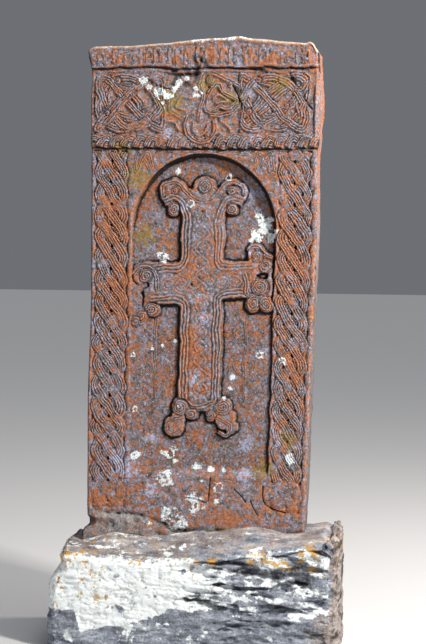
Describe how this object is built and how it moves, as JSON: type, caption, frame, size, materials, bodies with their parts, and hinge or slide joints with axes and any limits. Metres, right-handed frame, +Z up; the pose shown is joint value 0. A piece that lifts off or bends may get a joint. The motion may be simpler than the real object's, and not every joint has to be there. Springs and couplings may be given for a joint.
{
  "type": "carved standing stone",
  "caption": "Upright tuff slab with a cross in an arched niche and interlace borders, standing by its rough foot in the socket of an undressed base stone.",
  "frame": {"origin": "middle of the base stone's flat underside, at the bottom centre of the whole object's box", "axes": "+Z up along the slab, +X to the right as one faces the carving, +Y away from the viewer, so the carved face looks towards -Y"},
  "size_m": [1.048, 0.518, 2.1613],
  "materials": {
    "lichened_tuff": "rough weathered volcanic tuff with orange and white crust lichens",
    "grey_base_rock": "rough grey rock with pale crust lichens"
  },
  "bodies": {
    "root": {"carved_slab": "lichened_tuff", "base_stone": "grey_base_rock"}
  },
  "joints": []
}
